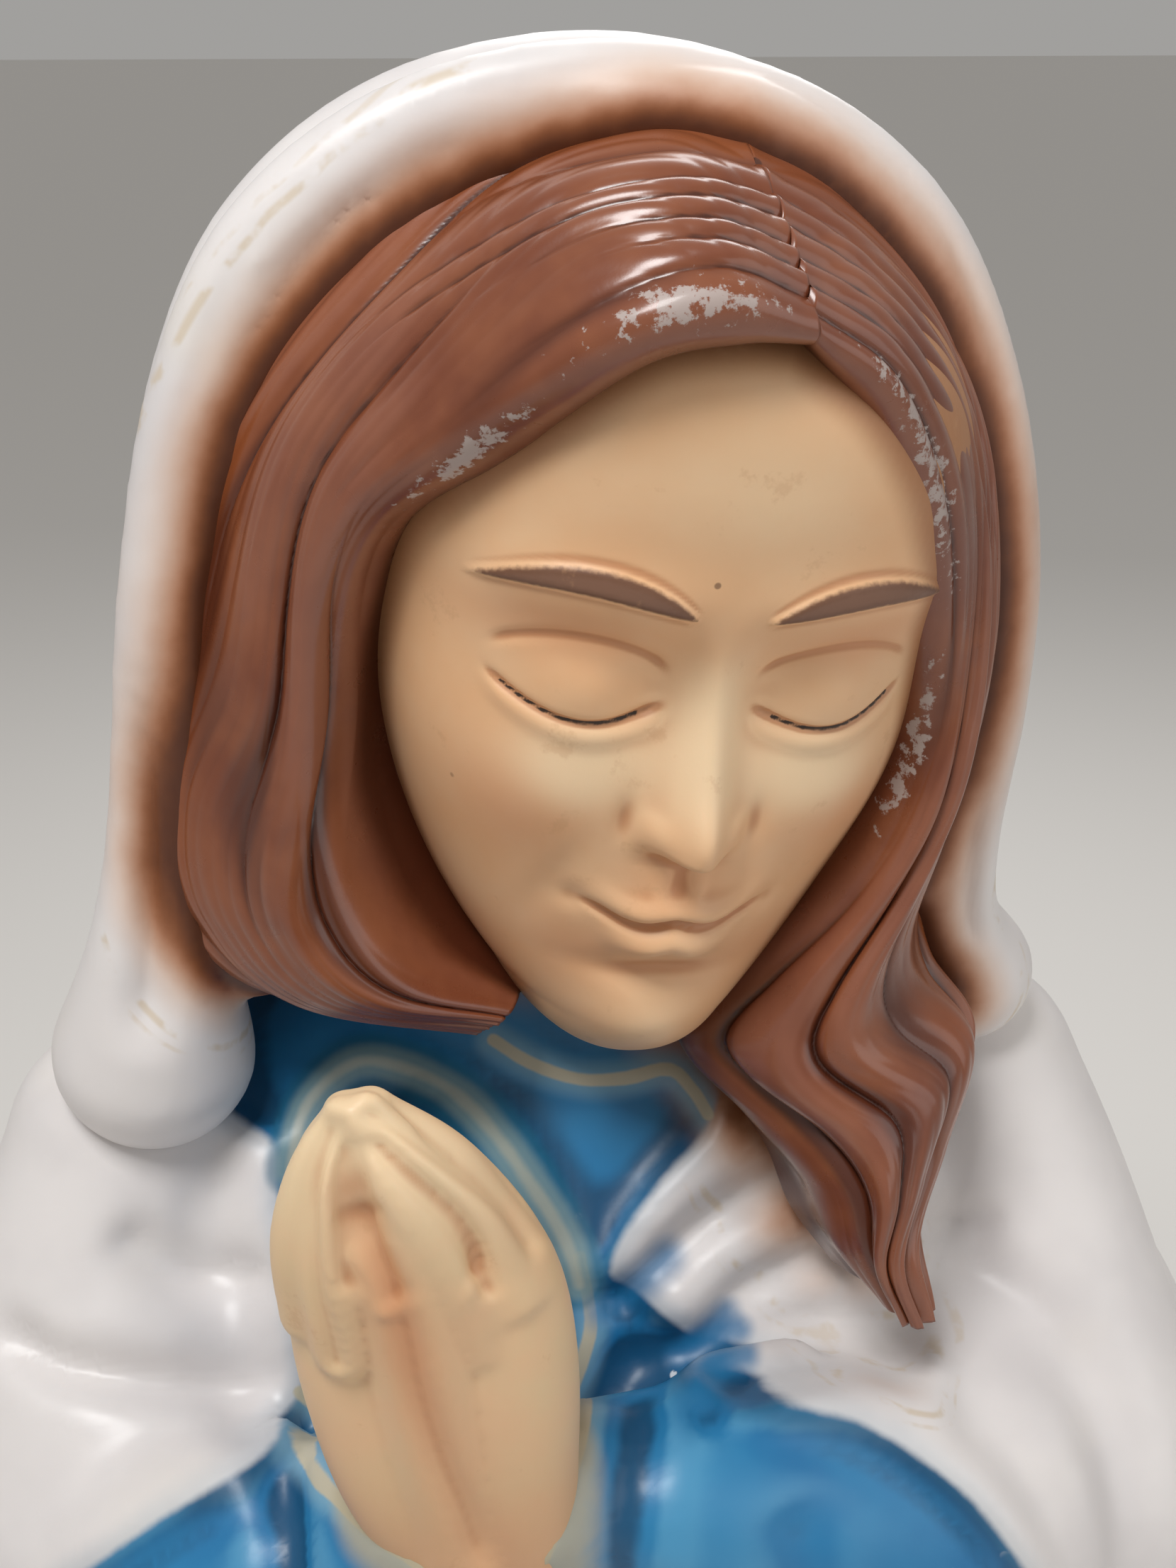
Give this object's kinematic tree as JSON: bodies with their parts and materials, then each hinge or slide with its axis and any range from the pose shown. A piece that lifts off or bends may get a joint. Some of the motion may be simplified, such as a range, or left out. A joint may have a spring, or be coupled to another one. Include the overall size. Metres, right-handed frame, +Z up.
{
  "type": "kneeling madonna statue",
  "caption": "Hollow blow-moulded kneeling madonna with bowed head and joined hands, lit from inside by a lamp on a round cover in the back.",
  "frame": {"origin": "on the floor, under the middle of the figure's outline", "axes": "+Z up, the figure faces -Y, +X is the figure's left"},
  "size_m": [0.3764, 0.3737, 0.711],
  "materials": {
    "white_polyethylene": "satin, as moulded",
    "blue_enamel": "satin airbrushed enamel",
    "flesh_enamel": "matt airbrushed enamel",
    "brown_enamel": "gloss airbrushed enamel",
    "white_polypropylene": "moulded",
    "black_rubber": "moulded",
    "brown_phenolic": "moulded",
    "plated_steel": "zinc plated",
    "rolled_brass": "bright",
    "clear_glass": "clear",
    "black_glass": "fused",
    "solder": "dull",
    "tungsten": "drawn"
  },
  "bodies": {
    "figure": {"figure_shell": "white_polyethylene"},
    "lamp_unit": {"lamp_cover": "white_polypropylene", "cord_grommet": "black_rubber", "holder_bracket": "plated_steel", "bracket_rivets": "rolled_brass", "lamp_holder": "brown_phenolic", "screw_shell": "rolled_brass", "centre_contact": "rolled_brass"},
    "lamp": {"lamp_base": "rolled_brass", "lamp_insulator": "black_glass", "lamp_tip_contact": "solder", "lamp_glass": "clear_glass", "lamp_stem": "clear_glass", "lamp_leads": "solder", "lamp_filament": "tungsten"},
    "plug": {"fill_plug": "white_polypropylene"}
  },
  "joints": [
    {"name": "lamp_unit_pull", "type": "slide", "parent": "figure", "child": "lamp_unit", "axis": [0, 1, 0], "range_m": [0, 0.12]},
    {"name": "lamp_turn", "type": "hinge", "parent": "lamp_unit", "child": "lamp", "pos_m": [0, 0.11, 0.17], "axis": [0, -1, 0], "range_deg": [0, 1440]},
    {"name": "fill_plug_pull", "type": "slide", "parent": "figure", "child": "plug", "axis": [0, 1, 0], "range_m": [0, 0.04]}
  ]
}
